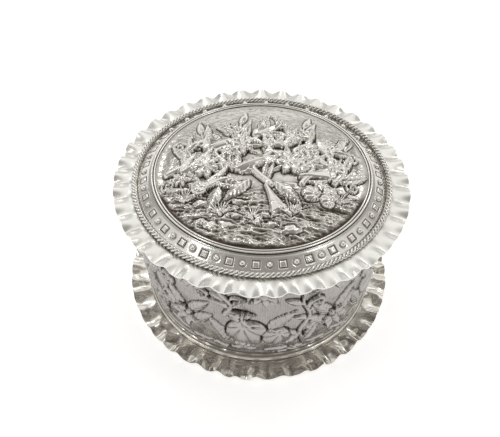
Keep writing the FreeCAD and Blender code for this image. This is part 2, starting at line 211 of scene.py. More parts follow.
def spinSection(name, corners, steps, rounding=0.0):
    # a section of (radius, height) corners, spun round the axis of the box
    bpy.ops.object.select_all(action="DESELECT")
    bpy.ops.mesh.primitive_circle_add(vertices=len(corners), radius=mm)
    piece = bpy.context.object
    piece.name = name
    for vert, (radius, height) in zip(piece.data.vertices, corners):
        vert.co = (radius * mm, 0, height * mm)
    if rounding:
        bpy.ops.object.mode_set(mode="EDIT")
        bpy.ops.mesh.select_all(action="SELECT")
        bpy.ops.mesh.bevel(offset=rounding * mm, segments=3, affect="VERTICES")
        bpy.ops.object.mode_set(mode="OBJECT")
    screw = piece.modifiers.new("turned", "SCREW")
    screw.steps = steps
    screw.render_steps = steps
    screw.use_merge_vertices = True
    screw.merge_threshold = 0.001 * mm
    bpy.ops.object.modifier_apply(modifier=screw.name)
    bpy.ops.object.mode_set(mode="EDIT")
    bpy.ops.mesh.select_all(action="SELECT")
    bpy.ops.mesh.normals_make_consistent(inside=False)
    bpy.ops.object.mode_set(mode="OBJECT")
    return piece


def pointsOf(piece):
    flat = np.empty(3 * len(piece.data.vertices), dtype=np.float32)
    piece.data.vertices.foreach_get("co", flat)
    return flat.reshape(-1, 3).astype(float) / mm


def movePoints(piece, points):
    piece.data.vertices.foreach_set("co", (points * mm).astype(np.float32).ravel())
    piece.data.update()


def paint(piece, name, values):
    layer = piece.data.attributes.new(name, "FLOAT", "POINT")
    layer.data.foreach_set("value", np.asarray(values, dtype=np.float32))


def finishPiece(piece, body, material, node, sharp=None):
    bpy.ops.object.select_all(action="DESELECT")
    piece.select_set(True)
    bpy.context.view_layer.objects.active = piece
    if sharp:
        bpy.ops.object.shade_smooth_by_angle(angle=math.radians(sharp))
    else:
        bpy.ops.object.shade_smooth()
    piece.data.materials.clear()
    piece.data.materials.append(material)
    for name in ("tarnishAndShade", "bare"):
        if name not in piece.data.attributes:
            paint(piece, name, np.zeros(len(piece.data.vertices)))
    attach(piece, body)
    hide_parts(node)
    print(piece.name, len(piece.data.polygons), "faces")


def soften(field, passes, wraps=False):
    # blurs a grid of heights; wraps joins its first and last columns
    for _ in range(passes):
        padded = np.pad(field, ((1, 1), (0, 0)), mode="edge")
        field = (padded[:-2] + 2 * padded[1:-1] + padded[2:]) / 4
        padded = np.pad(field, ((0, 0), (1, 1)), mode="wrap" if wraps else "edge")
        field = (padded[:, :-2] + 2 * padded[:, 1:-1] + padded[:, 2:]) / 4
    return field


def rough(x, y, size, seed):
    # smooth random heights between -1 and 1, about size apart
    cells = 64
    rng = np.random.default_rng(seed)
    grid = rng.uniform(-1, 1, (cells, cells))
    column = np.floor(x / size).astype(int)
    row = np.floor(y / size).astype(int)
    across = x / size - column
    up = y / size - row
    across = across ** 2 * (3 - 2 * across)
    up = up ** 2 * (3 - 2 * up)
    low, high = row % cells, (row + 1) % cells
    left, right = column % cells, (column + 1) % cells
    below = grid[low, left] * (1 - across) + grid[low, right] * across
    above = grid[high, left] * (1 - across) + grid[high, right] * across
    return below * (1 - up) + above * up


# crimped frills

def makeFrill(name, body, material, node, frill):
    rim = reach(node)
    flat = frill["flat"]
    seat = frill["seat"]
    rows = frill["rows"]
    out = [frill["hole"] + (flat - frill["hole"]) * step / 3 for step in range(3)]
    out += [flat + (rim - flat) * step / rows for step in range(rows + 1)]
    corners = [(radius, seat) for radius in out]
    corners += [(radius, seat + frill["sheet"]) for radius in reversed(out)]
    piece = spinSection(name, corners, frill["waves"] * frill["stepsPerWave"])
    points = pointsOf(piece)
    radius = np.hypot(points[:, 0], points[:, 1])
    angle = np.arctan2(points[:, 1], points[:, 0]) % turn
    rng = np.random.default_rng(frill["seed"])
    waves = frill["waves"]
    along = angle / turn * waves

    def uneven(spread):
        made = rng.normal(0, spread, waves)
        return np.interp(along, np.arange(waves + 1), np.append(made, made[0]))

    shift = uneven(frill["shiftShare"])
    swell = 1 + uneven(frill["swellShare"])
    lean = uneven(frill["leanMm"])
    phase = turn * (along + shift)
    wave = np.cos(phase) - frill["pinchShare"] * np.cos(2 * phase)
    out = np.clip((radius - flat) / (rim - flat), 0, 1)
    swing = frill["swing"] * swell * wave * out
    dents = rough(points[:, 0], points[:, 1], frill["dentSize"], frill["seed"]) * frill["dentMm"]
    points[:, 2] += swing + (frill["rise"] + lean) * out ** 1.5 + dents * np.clip(2 * out, 0, 1)
    pull = 1 - frill["pullMm"] * (wave ** 2) * out / rim - frill["ragMm"] * (uneven(1.0) ** 2) * out / rim
    points[:, :2] *= pull[:, None]
    points[:, 2] = np.maximum(points[:, 2], floorOf(node))
    movePoints(piece, points)
    # painted shade, partly patina: darker in the crimp valleys near the root and in the crease beside the
    # rope or foot
    valley = np.clip(0.35 - 0.5 * wave, 0, 1) * (1 - out) * 0.5
    crease = np.exp(-((radius - flat) / 0.4) ** 2) * frill["crease"]
    paint(piece, "tarnishAndShade", np.clip(valley + crease, 0, 1))
    finishPiece(piece, body, material, node, sharp=50)


joint = {"gap": 0.05, "mouthWire": 1.0, "collarSheet": 0.6}  # as in the solids
wallOut = reach("mouth_wire") - joint["mouthWire"] - joint["gap"]
mouthIn = wallOut + joint["gap"]

print("frills")
lidFrill = {"hole": 41.1, "flat": 44.75, "seat": topOf("body_wall"), "sheet": 0.55, "rows": 14,
            "waves": 40, "stepsPerWave": 24, "swing": 0.8, "rise": 0.1, "pinchShare": 0.04,
            "shiftShare": 0.05, "swellShare": 0.16, "leanMm": 0.16, "pullMm": 0.22, "ragMm": 0.06,
            "crease": 0.25, "dentSize": 3.0, "dentMm": 0.1, "seed": 5}
makeFrill("lid_frill_crimped", "lid", frillSilver, "lid_frill", lidFrill)
footOut = 0.75  # the foot's width, which the base frill starts from
baseFrill = dict(lidFrill, hole=mouthIn, flat=mouthIn + footOut, seat=topOf("base_plate"), rise=0.6,
                 swing=0.85, pinchShare=0.05, shiftShare=0.16, swellShare=0.34, leanMm=0.25, crease=0.45,
                 dentMm=0.38, dentSize=2.6, seed=11)
makeFrill("base_frill_crimped", "box", baseFrillSilver, "base_frill", baseFrill)


# twisted wire

def makeRope(rope):
    ring = reach("lid_rope") - rope["wire"] / 2
    centre = (floorOf("lid_rope") + topOf("lid_rope")) / 2
    share = turn / rope["strands"]
    strand = rope["wire"] / 2 / (1 + 1 / math.sin(share / 2))
    apart = strand / math.sin(share / 2)
    corners = []
    for step in range(rope["sides"]):
        around = turn * step / rope["sides"]
        within = (around + share / 2) % share - share / 2
        cheek = max(strand ** 2 - (apart * math.sin(within)) ** 2, (rope["seam"] * strand) ** 2)
        far = apart * math.cos(within) + math.sqrt(cheek)
        corners.append((ring + far * math.cos(around), centre + far * math.sin(around)))
    piece = spinSection("lid_rope_twisted", corners, rope["turns"] * rope["stepsPerTurn"])
    points = pointsOf(piece)
    radius = np.hypot(points[:, 0], points[:, 1])
    angle = np.arctan2(points[:, 1], points[:, 0])
    out = radius - ring
    up = points[:, 2] - centre
    twist = angle * rope["turns"] * rope["hand"]
    newOut = out * np.cos(twist) - up * np.sin(twist)
    newUp = out * np.sin(twist) + up * np.cos(twist)
    points[:, 0] = (ring + newOut) * np.cos(angle)
    points[:, 1] = (ring + newOut) * np.sin(angle)
    points[:, 2] = centre + newUp
    movePoints(piece, points)
    far = np.hypot(out, up) / (rope["wire"] / 2)
    # painted shade, partly patina: darker between the strands, clean on their crowns
    paint(piece, "tarnishAndShade", np.clip(1.65 - 1.85 * far, 0, 1))
    finishPiece(piece, "lid", ropeSilver, "lid_rope")


print("twisted wire")
makeRope({"wire": 1.8, "strands": 3, "sides": 24, "turns": 59, "stepsPerTurn": 20, "seam": 0.4, "hand": 1})


# rings turned from a section

def makeRing(name, body, material, node, corners, rounding, steps=240, shadeAndPatina=None):
    piece = spinSection(name, corners, steps, rounding)
    # the given function paints patina and painted shade in the grooves of the ring
    if shadeAndPatina:
        points = pointsOf(piece)
        paint(piece, "tarnishAndShade", shadeAndPatina(np.hypot(points[:, 0], points[:, 1]), points[:, 2]))
    finishPiece(piece, body, material, node, sharp=45)


def uprightSection(node, inner):
    low, high, outer = floorOf(node), topOf(node), reach(node)
    return [(inner, low), (outer, low), (outer, high), (inner, high)]


print("rings")
rounding = {"mouthWire": 0.25, "collar": 0.15}
makeRing("base_plate_disc", "box", insideSilver, "base_plate",
         uprightSection("base_plate", 0.0), 0.0)
makeRing("mouth_wire_ring", "box", frillSilver, "mouth_wire",
         uprightSection("mouth_wire", mouthIn), rounding["mouthWire"])
makeRing("lid_collar_ring", "lid", insideSilver, "lid_collar",
         uprightSection("lid_collar", reach("lid_collar") - joint["collarSheet"]), rounding["collar"])

# one crisp ridge at the root of the base frill, and a plain strip up to the wall
footLow = floorOf("foot_moulding")
footTop = topOf("foot_moulding")
foot = {"lip": 0.2, "ridgeOut": 0.4, "ridgeUp": 1.0, "ridge": 0.36, "sides": 8, "seam": 0.1, "strip": 0.16}
footCorners = [(mouthIn, footLow), (mouthIn + footOut, footLow), (mouthIn + footOut, footLow + foot["lip"])]
for step in range(foot["sides"] + 1):
    swing = -turn / 4 + turn / 2 * step / foot["sides"]
    footCorners.append((mouthIn + foot["ridgeOut"] + foot["ridge"] * math.cos(swing),
                        footLow + foot["ridgeUp"] + foot["ridge"] * math.sin(swing)))
footCorners += [(mouthIn + foot["strip"], footLow + foot["ridgeUp"] + foot["ridge"] + foot["seam"]),
                (mouthIn + foot["strip"], footTop), (mouthIn, footTop)]


# painted shade, partly patina: darker in the seam above the ridge and in the groove under it
def footShadeAndPatina(radius, height):
    up = height - footLow - foot["ridgeUp"]
    above = np.exp(-((up - foot["ridge"] - foot["seam"]) / 0.12) ** 2)
    below = np.exp(-((up + foot["ridge"] + foot["seam"]) / 0.2) ** 2)
    return np.clip(0.7 * above + 0.5 * below, 0, 1)


makeRing("foot_moulding_ring", "box", footSilver, "foot_moulding", footCorners, 0.0,
         steps=320, shadeAndPatina=footShadeAndPatina)

mouldOut = reach("lid_moulding")
mouldLow = floorOf("lid_moulding")
mould = {"bar": 0.6, "outer": 0.95, "inner": 0.85, "wide": 0.36, "tall": 0.34, "sides": 8}
mouldBar = mouldLow + mould["bar"]
mouldCorners = [(mouldOut - mould["outer"] - mould["inner"], mouldLow), (mouldOut, mouldLow)]
edge = mouldOut
for width in (mould["outer"], mould["inner"]):
    for step in range(mould["sides"] + 1):
        swing = turn / 2 * step / mould["sides"]
        mouldCorners.append((edge - width / 2 + width * mould["wide"] * math.cos(swing),
                             mouldBar + width * mould["tall"] * math.sin(swing)))
    edge -= width


# painted shade, partly patina: darker in the groove between the two ridges
def mouldShadeAndPatina(radius, height):
    return np.clip(0.95 - (height - mouldBar) / 0.22, 0, 0.95)  # between the ridges


makeRing("lid_moulding_ring", "lid", bandSilver, "lid_moulding", mouldCorners, 0.0,
         steps=320, shadeAndPatina=mouldShadeAndPatina)


# relief work

def fanned(place, far, way):
    # points at some distances and angles from a place
    return np.stack([place[0] + far * np.cos(way), place[1] + far * np.sin(way)], axis=1)


class Relief:
    # a sheet worked from behind and chased from the front: heights in mm over points x, y
    def __init__(self, x, y, around=0.0):
        self.x, self.y, self.around = x, y, around
        self.high = np.zeros_like(x)
        self.bare = np.ones_like(x)

    def local(self, place, turned, span):
        across = self.x - place[0]
        if self.around:
            across = (across + self.around / 2) % self.around - self.around / 2
        up = self.y - place[1]
        near = np.nonzero((np.abs(across) < span) & (np.abs(up) < span))[0]
        c, s = math.cos(turned), math.sin(turned)
        return near, across[near] * c + up[near] * s, up[near] * c - across[near] * s

    def strike(self, near, edge, form, line=0.16, hides=False):
        # edge is the distance outside the outline: a chased line there, then the form inside
        inside = np.clip(0.5 - edge / 0.25, 0, 1)
        low = self.high[near]
        under = low[inside > 0.5]
        form = form + 0.75 * max(under.mean(), 0) if len(under) else form  # lies over what is there
        groove = line * np.exp(-((edge - 0.2) / 0.22) ** 2)
        low = low - np.where(edge > 0, groove, 0)
        self.high[near] = low + inside * (form - low if hides else np.maximum(form - low, 0))
        self.bare[near] *= 1 - inside

    def fruit(self, place, size, rise, lift=0.0, turned=0.0, ribs=0, eye=0.5, line=0.16, hides=False):
        near, along, aside = self.local(place, turned, size * 1.3)
        far = np.hypot(along, aside) / size
        form = lift + rise * np.sqrt(np.clip(1 - far ** 2, 0, 1))
        pole = np.hypot(along + eye * size, aside) / size
        if ribs:  # segments that run together at the stalk
            angle = np.arctan2(aside, along + eye * size)
            form -= 0.24 * rise * np.abs(np.cos(ribs * angle / 2)) ** 6 * np.clip(pole * 2, 0, 1)
            form -= 0.3 * rise * np.exp(-(pole / 0.14) ** 2)
        self.strike(near, (far - 1) * size, form, line, hides)

    def leaf(self, place, length, width, turned, rise, lift=0.0, bend=0.0, lobes=3, veins=1.8, notch=0.14,
             fold=1, cutIn=0.12):
        # two flanks that meet in a ridge, or in a trough where fold is -1
        near, along, aside = self.local(place, turned, length * 1.15)
        share = np.clip(along / length, 0, 1)
        aside = aside - bend * length * share ** 2
        cut = 1 - notch * ((lobes * share) % 1.0) * (share < 0.9)
        half = width / 2 * np.sin(math.pi * np.clip(share, 0.015, 0.985) ** 0.75) ** 0.8 * cut
        cross = np.clip(np.abs(aside) / half, 0, 1)
        edge = np.maximum(np.abs(aside) - half, np.maximum(-along, along - length))
        roof = 0.35 + 0.65 * (1 - cross if fold > 0 else np.sin(1.9 * cross))
        form = lift + rise * roof * (0.55 + 0.45 * np.sin(math.pi * share ** 0.7))
        slant = (along - 0.9 * np.abs(aside)) / veins
        form -= cutIn * rise * np.exp(-((slant % 1.0 - 0.5) / 0.14) ** 2)
        self.strike(near, edge, form)

    def blade(self, place, length, width, turned, rise, lift=0.0, bend=0.0):
        # a leaf with a plain edge and hardly a vein
        self.leaf(place, length, width, turned, rise, lift, bend, lobes=1, veins=30.0, notch=0.0)

    def fern(self, place, length, turned, rise, bend=0.2, pairs=7):
        # narrow leaflets in pairs, then the stalk over them
        run = np.linspace(0, 1, 40)
        way = turned + bend * 2 * run
        path = fanned(place, length * run, way)
        for pair in range(pairs):
            share = (pair + 1.0) / (pairs + 0.6)
            step = int(share * 39)
            tall = length * 0.36 * (1.05 - share) ** 0.7
            for side in (-1, 1):
                self.blade(path[step], tall, tall * 0.34, way[step] + side * 0.75, rise, bend=-0.2 * side)
        self.stem(path, 0.8, rise * 0.8, 0.1, taper=0.7)

    def vine(self, path, width, rise, lift, leaves, length, rng):
        # a stout stem with leaves to either side, smaller towards its tip
        for number in range(leaves):
            share = (number + 0.5) / leaves
            step = min(int(len(path) * share), len(path) - 3)
            way = math.atan2(*(path[step + 2] - path[step])[::-1])
            side = 1 if number % 2 else -1
            size = length * (1 - 0.3 * share) * rng.uniform(0.8, 1.2)
            self.leaf(path[step], size, size * rng.uniform(0.3, 0.42), way + side * rng.uniform(0.5, 1.0),
                      rise, lift + 0.1 * (number % 3), bend=rng.normal(0, 0.25), fold=side)
        self.stem(path, width, rise * 0.9, lift, taper=0.45)

    def spray(self, place, length, count, spread, turned, rise, lift=0.0):
        # long folded leaves from one foot, the outer ones first
        order = sorted(range(count), key=lambda number: -abs(number - (count - 1) / 2))
        for number in order:
            share = number / (count - 1) - 0.5
            tall = length * (1 - 0.5 * abs(share))
            self.blade(place, tall, tall * 0.27, turned + spread * share, rise, lift, bend=0.35 * share)

    def trumpet(self, place, length, mouth, turned, rise, lift):
        # a long flower, round in section and open at one end
        near, along, aside = self.local(place, turned, length * 1.2)
        share = np.clip(along / length, 0, 1)
        waved = 1 - 0.1 * np.abs(np.sin(aside * 5 / mouth)) * (share > 0.85)
        half = mouth / 2 * (0.16 + 0.84 * share ** 1.6) * waved
        cross = np.clip(np.abs(aside) / half, 0, 1)
        form = lift + rise * (0.4 + 0.6 * share) * np.sqrt(1 - 0.9 * cross ** 2)
        form -= 0.1 * rise * np.abs(np.sin(aside / half * 4)) * share
        form -= 0.8 * rise * np.clip((share - 0.86) / 0.1, 0, 1) * np.clip(1.25 - 1.4 * cross, 0, 1)
        self.strike(near, np.maximum(np.abs(aside) - half, np.maximum(-along, along - length)), form)

    def earth(self, level, rise, seed):
        # broken ground below a level, drawn out sideways
        made = np.zeros_like(self.x)
        for octave in range(4):
            fine = 1.9 ** octave
            strokes = rough(self.x / 2.4, self.y + 0.15 * self.x, 3.6 / fine, seed + octave)
            made += (1 - 2 * np.abs(strokes)) / fine ** 0.6
        cover = np.clip((level + 2.2 * np.sin(self.x / 6.5) - self.y) / 2.5, 0, 1)
        self.high = np.maximum(self.high, cover * rise * (0.5 + made / 1.6))
        self.bare *= 1 - 0.4 * cover

    def blossom(self, place, size, petals, rise, lift=0.0, turned=0.0, heart=0.28):
        near, along, aside = self.local(place, turned, size * 1.1)
        angle = np.arctan2(aside, along)
        far = np.hypot(along, aside)
        ridge = 1 - 2 * np.abs((petals * angle / turn) % 1.0 - 0.5)
        rim = size * (0.42 + 0.58 * ridge ** 0.6)
        share = np.clip(far / rim, 0, 1)
        form = lift + rise * (0.2 + 0.8 * np.sin(share * 2.3)) * (0.3 + 0.7 * ridge)
        if heart:
            middle = far / (size * heart)
            form = np.maximum(form, lift + rise * 1.05 * np.sqrt(np.clip(1 - middle ** 2, 0, 1)))
            seeds = np.cos(along * 7.0 / size * 3) * np.cos(aside * 7.0 / size * 3)
            form += np.where(middle < 1, 0.1 * rise * seeds, 0)
        self.strike(near, far - rim, form)

    def stem(self, path, width, rise, lift=0.0, taper=0.6):
        path = np.asarray(path, dtype=float)
        middle = path.mean(axis=0)
        span = np.abs(path - middle).max() + width * 2
        near, along, aside = self.local(middle, 0.0, span)
        away = np.hypot(along[:, None] + middle[0] - path[:, 0], aside[:, None] + middle[1] - path[:, 1])
        nearest = away.argmin(axis=1)
        away = away[np.arange(len(near)), nearest]
        half = width / 2 * (1 - taper * nearest / len(path))
        form = lift + rise * np.sqrt(np.clip(1 - (away / half) ** 2, 0, 1))
        self.strike(near, away - half, form)

    def curl(self, place, size, turned, hand=1, rise=0.7, lift=0.0, width=0.9):
        # a tendril that runs out and winds up
        steps = np.linspace(0, 1, 90)
        wind = turned + hand * 9.5 * steps ** 1.2
        far = size * (1 - 0.85 * steps)
        self.stem(fanned(place, far, wind), width, rise, lift, taper=0.35)

    def tuft(self, place, length, blades, rise, lift=0.0, spread=1.5, turned=turn / 4):
        for blade in range(blades):
            way = turned + spread * (blade / (blades - 1) - 0.5)
            run = np.linspace(0, 1, 24)
            sway = 0.25 * spread * (blade / (blades - 1) - 0.5) * run ** 2
            tall = length * (0.75 + 0.25 * math.sin(blade * 2.4))
            self.stem(fanned(place, tall * run, way + sway), 0.7, rise, lift, taper=0.8)

    def rock(self, place, size, flat, rise, turned=0.0, lift=0.0, seed=0):
        near, along, aside = self.local(place, turned, size * 1.3)
        angle = np.arctan2(aside / flat, along)
        rim = 1 + 0.13 * np.sin(3 * angle + seed) + 0.09 * np.sin(5 * angle + 2.3 * seed)
        far = np.hypot(along, aside / flat) / (size * rim)
        form = lift + rise * np.clip(1.15 * (1 - far ** 2), 0, 1) ** 0.6
        form -= 0.1 * rise * (np.abs(np.sin(along * 2.1 + seed) + np.sin(aside * 3.3 + along)) < 0.3)
        self.strike(near, (far - 1) * size * flat, form)


def bow(start, end, sag, count=40):
    # a bent path from start to end
    run = np.linspace(0, 1, count)[:, None]
    start, end = np.asarray(start, dtype=float), np.asarray(end, dtype=float)
    side = np.array([-(end - start)[1], (end - start)[0]])
    return start + (end - start) * run + side * sag * 4 * run * (1 - run)


def through(*spots, count=16):
    # a smooth path through some spots
    spots = np.asarray(spots, dtype=float)
    spots = np.vstack([2 * spots[0] - spots[1], spots, 2 * spots[-1] - spots[-2]])
    run = np.linspace(0, 1, count, endpoint=False)[:, None]
    parts = []
    for before, start, end, after in zip(spots, spots[1:], spots[2:], spots[3:]):
        first = 2 * before - 5 * start + 4 * end - after
        second = 3 * start - before - 3 * end + after
        parts.append(0.5 * (2 * start + (end - before) * run + first * run ** 2 + second * run ** 3))
    return np.vstack(parts + [spots[-2:-1]])


def gardenRelief(relief):
    rng = np.random.default_rng(21)
    # broken bank, and ferns against the plain top
    relief.earth(-12.0, 0.65, 8)
    for number in range(11):
        way = 0.28 + 2.58 * number / 10
        spot = (20 * math.cos(way), 4 + 11 * math.sin(way) + rng.normal(0, 1.0))
        relief.fern(spot, rng.uniform(10, 13.5), way + rng.normal(0, 0.2), 0.8, rng.normal(0, 0.25))
    # tall reeds
    for root, tip in (((-10, -4), (-6, 29)), ((-17, 0), (-22.5, 21)),
                      ((12, 2), (17, 25)), ((20, 0), (28.5, 13))):
        path = bow(root, tip, 0.03)
        relief.stem(path, 1.0, 0.9, 0.0, taper=0.2)
        way = math.atan2(*(path[-1] - path[-5])[::-1])
        relief.blade(path[-10], 9.0, 2.6, way, 1.0)
        relief.blade(path[int(0.55 * len(path))], 11.0, 2.6, way - 0.5, 0.9, bend=0.3)
    # vines that climb from the bank
    for spots in (((-32, -5), (-24, 0), (-26, 7), (-18, 12)),
                  ((-19, -12), (-12, -4), (-16, 4), (-8, 9), (-10, 17)),
                  ((3, -12), (-3, -4), (3, 4), (-2, 11), (2, 18)),
                  ((13, -11), (17, -3), (11, 4), (17, 10), (14, 17)),
                  ((24, -9), (28, -2), (22, 4), (28, 9))):
        relief.vine(through(*spots), 2.4, 1.5, 0.0, 8, 11.0, rng)
    for across, up, size, hand in ((-29, 9, 2.8, 1), (31, 4, 2.6, -1),
                                   (-31, -10, 2.6, -1), (30, -10, 2.6, 1)):
        relief.curl((across, up), size, rng.uniform(0, turn), hand, 0.7, 0.0, 0.9)
    # long bent leaves across them
    for start, end, bend in (((-27, -6), (-13, 5), 0.25), ((-9, -6), (5, 4), -0.2),
                             ((4, 7), (19, 12), 0.25), ((11, -6), (25, 3), 0.2),
                             ((-20, 5), (-7, 14), -0.25), ((-3, 12), (9, 19), 0.2)):
        run = math.hypot(end[0] - start[0], end[1] - start[1])
        way = math.atan2(end[1] - start[1], end[0] - start[0])
        relief.blade(start, run, 3.4, way, 1.9, 0.3, bend=bend)
        relief.blade(start, run * 0.6, 2.8, way + 0.7, 1.6, 0.2, bend=-bend)
    # flowers among them
    for across, up, size, way in ((-19, -4, 5.4, 0.3), (9.5, -2, 5.8, 0.5), (-7, 6.5, 5.0, 0.2),
                                  (23.5, -3.5, 5.0, 1.1), (11, 12, 4.4, 0.8)):
        relief.spray((across, up), size * 1.8, 7, 3.6, way + 1.2, 1.3)
        relief.blossom((across, up), size * 0.85, 6, 1.5, 0.3, way, heart=0.3)
    for across, up, size in ((-10.5, -3, 3.0), (17.5, 3, 3.0), (-27, -8, 3.0), (2, 8, 2.8)):
        relief.blossom((across, up), size, 6, 1.1, 0.0, rng.uniform(0, 1))
    # long flowers, leaves and fruit on the bank
    for across, up, length, way in ((-4, -10, 12, 3.9), (4, -11, 12, 5.6), (17, -10, 12, 5.9),
                                    (-14, -13, 11, 4.4), (24, -12, 9, 4.0)):
        relief.leaf((across, up), length, length * 0.42, way, 1.5, bend=rng.normal(0, 0.2))
    for across, up, length, mouth, way in ((-11, -9, 13, 7.0, 3.5), (1, -12, 13, 7.6, 5.1),
                                           (12, -8, 12, 6.4, 0.2)):
        relief.trumpet((across, up), length, mouth, way, 2.0, 0.0)
    for across, up, size in ((16, -15, 3.4), (21, -17.5, 2.6), (-20.5, -13, 2.8)):
        relief.fruit((across, up), size, 1.8, 0.0, turned=rng.uniform(0, 3), ribs=9)
    # stones and grass in front
    for number in range(14):
        across = rng.uniform(-24, 24)
        up = rng.uniform(-31, -19) * math.sqrt(1 - (across / 38) ** 2)
        relief.rock((across, up), rng.uniform(1.2, 3.2), rng.uniform(0.4, 0.6), rng.uniform(0.6, 1.1),
                    rng.normal(0, 0.25), seed=number)
    for across, up, tall in ((-25, -18, 8), (-13, -24, 8), (9, -24, 9), (25, -18, 7), (-3, -26, 6)):
        relief.tuft((across, up), tall, 11, 0.7, 0.0, spread=2.0)


def makeMedallion(medallion):
    # a fine grid drawn out to a disc and raised over the dome, with a coarser one behind it
    rim = reach("lid_medallion")
    inner = mouldOut - mould["outer"] - mould["inner"]
    low = floorOf("lid_moulding")
    crown = low + medallion["rise"]
    sphere = (inner ** 2 + (crown - low) ** 2) / (2 * (crown - low))

    def disc(name, cells):
        bpy.ops.object.select_all(action="DESELECT")
        bpy.ops.mesh.primitive_grid_add(x_subdivisions=cells, y_subdivisions=cells, size=2)
        piece = bpy.context.object
        piece.name = name
        flat = pointsOf(piece) * mm
        column = np.rint((flat[:, 0] + 1) / 2 * cells).astype(int)
        row = np.rint((flat[:, 1] + 1) / 2 * cells).astype(int)
        x = rim * flat[:, 0] * np.sqrt(1 - flat[:, 1] ** 2 / 2)
        y = rim * flat[:, 1] * np.sqrt(1 - flat[:, 0] ** 2 / 2)
        far = np.hypot(x, y)
        dome = crown - sphere + np.sqrt(np.clip(sphere ** 2 - far ** 2, 0, None))
        lip = (mould["bar"] - 0.1) * np.clip(1 - (inner - far) / medallion["lipRun"], 0, 1) ** 2
        dome = np.where(far > inner + 0.3, low, np.maximum(dome, low) + lip)
        return piece, row, column, x, y, far, dome

    cells = medallion["cells"]
    piece, row, column, x, y, far, dome = disc("lid_medallion_relief", cells)
    relief = Relief(x, y)
    gardenRelief(relief)
    relief.high += medallion["marks"] * rough(x, y, medallion["markSize"], 3) * relief.bare
    field = np.zeros((cells + 1, cells + 1))
    field[row, column] = relief.high
    field += 0.5 * (field - soften(field, 2))  # crisper edges
    field = medallion["tallest"] * np.tanh(field / medallion["tallest"])
    fade = np.clip((inner - 0.3 - far) / 1.2, 0, 1)
    high = field[row, column] * fade
    field[row, column] = high
    movePoints(piece, np.stack([x, y, dome + high], axis=1))
    # patina in the hollows and painted shade beside the raised forms
    close = (soften(field, 4) - field)[row, column]
    wide = (soften(field, 50) - field)[row, column]
    # painted shade in the gutter at the rim, beside the moulding
    edge = 0.3 * np.exp(-((inner - 0.2 - far) / 1.0) ** 2)
    bankDarker = 0.5 * np.clip((-11 - y) / 5, 0, 1)  # darker on the bank
    polish = 0.12 * np.clip(high, 0, 2)
    shadeAndPatina = 1.7 * close + 0.9 * wide + 0.16 * relief.bare + edge + bankDarker - polish
    paint(piece, "tarnishAndShade", np.clip(shadeAndPatina, -0.5, 1))
    paint(piece, "bare", relief.bare)

    # the back of the sheet follows the front, softer
    under = field
    for _ in range(8):
        padded = np.pad(under, 1, mode="edge")
        upright = np.minimum(padded[:-2, 1:-1], padded[2:, 1:-1])
        level = np.minimum(padded[1:-1, :-2], padded[1:-1, 2:])
        under = np.minimum(under, np.minimum(upright, level))
    under = soften(under, 12)
    behind, row, column, x, y, far, dome = disc("lid_medallion_back", medallion["backCells"])
    share = cells / medallion["backCells"]
    high = under[np.rint(row * share).astype(int), np.rint(column * share).astype(int)] - medallion["sheet"]
    movePoints(behind, np.stack([x, y, dome + high], axis=1))
    paint(behind, "tarnishAndShade", 0.25 + 0 * x)
    bpy.ops.object.mode_set(mode="EDIT")
    bpy.ops.mesh.select_all(action="SELECT")
    bpy.ops.mesh.flip_normals()
    bpy.ops.object.mode_set(mode="OBJECT")
    piece.select_set(True)
    bpy.context.view_layer.objects.active = piece
    bpy.ops.object.join()
    bpy.ops.object.mode_set(mode="EDIT")
    bpy.ops.mesh.select_mode(type="EDGE")
    bpy.ops.mesh.select_all(action="DESELECT")
    bpy.ops.mesh.select_non_manifold()
    bpy.ops.mesh.bridge_edge_loops()
    bpy.ops.mesh.select_mode(type="VERT")
    bpy.ops.object.mode_set(mode="OBJECT")
    finishPiece(piece, "lid", reliefSilver, "lid_medallion")


print("medallion")
makeMedallion({"cells": 268, "backCells": 110, "rise": 4.7, "lipRun": 2.5, "tallest": 3.4, "sheet": 0.45,
               "marks": 0.07, "markSize": 1.5})


# sloping band

